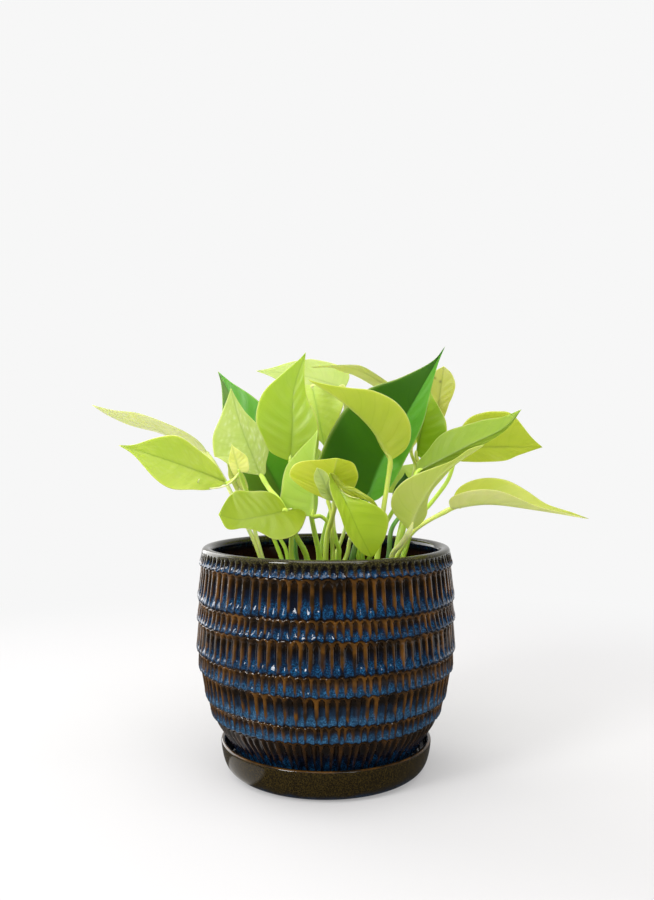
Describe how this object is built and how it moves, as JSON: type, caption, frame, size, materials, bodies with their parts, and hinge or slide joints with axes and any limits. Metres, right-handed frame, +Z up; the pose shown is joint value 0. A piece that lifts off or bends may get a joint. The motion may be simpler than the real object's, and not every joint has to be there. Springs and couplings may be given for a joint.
{
  "type": "potted neon pothos plant",
  "caption": "Potted neon pothos: heart-shaped lime and dark green leaves on long stalks in a round fluted glazed pot standing on a low glazed saucer.",
  "frame": {"origin": "centre of the saucer's flat underside, on the surface it stands on", "axes": "+Z up along the pot's axis, +X to the right and -Y towards the viewer of the picture"},
  "size_m": [0.3407, 0.2192, 0.2935],
  "materials": {
    "pot_glaze": "high gloss, blue glaze pooled between olive brown ribs",
    "saucer_glaze": "high gloss olive brown",
    "soil": "rough, moist",
    "neon_leaf": "waxy sheen",
    "pale_leaf": "soft sheen",
    "olive_leaf": "soft sheen",
    "yellow_leaf": "waxy sheen",
    "green_leaf": "waxy sheen"
  },
  "bodies": {
    "root": {"pot": "pot_glaze", "saucer": "saucer_glaze", "soil": "soil", "shoot_far_left": "pale_leaf", "shoot_left": "neon_leaf", "shoot_front_left": "neon_leaf", "shoot_mid_left": "neon_leaf", "shoot_centre": "olive_leaf", "shoot_upright": "olive_leaf", "shoot_front_right": "pale_leaf", "shoot_low_right": "yellow_leaf", "shoot_right": "neon_leaf", "shoot_back_right": "yellow_leaf", "shoot_crown": "pale_leaf", "shoot_green_left": "green_leaf", "shoot_green_centre": "green_leaf", "shoot_green_right": "green_leaf", "shoot_rear_left": "neon_leaf", "shoot_rear_right": "neon_leaf"}
  },
  "joints": []
}
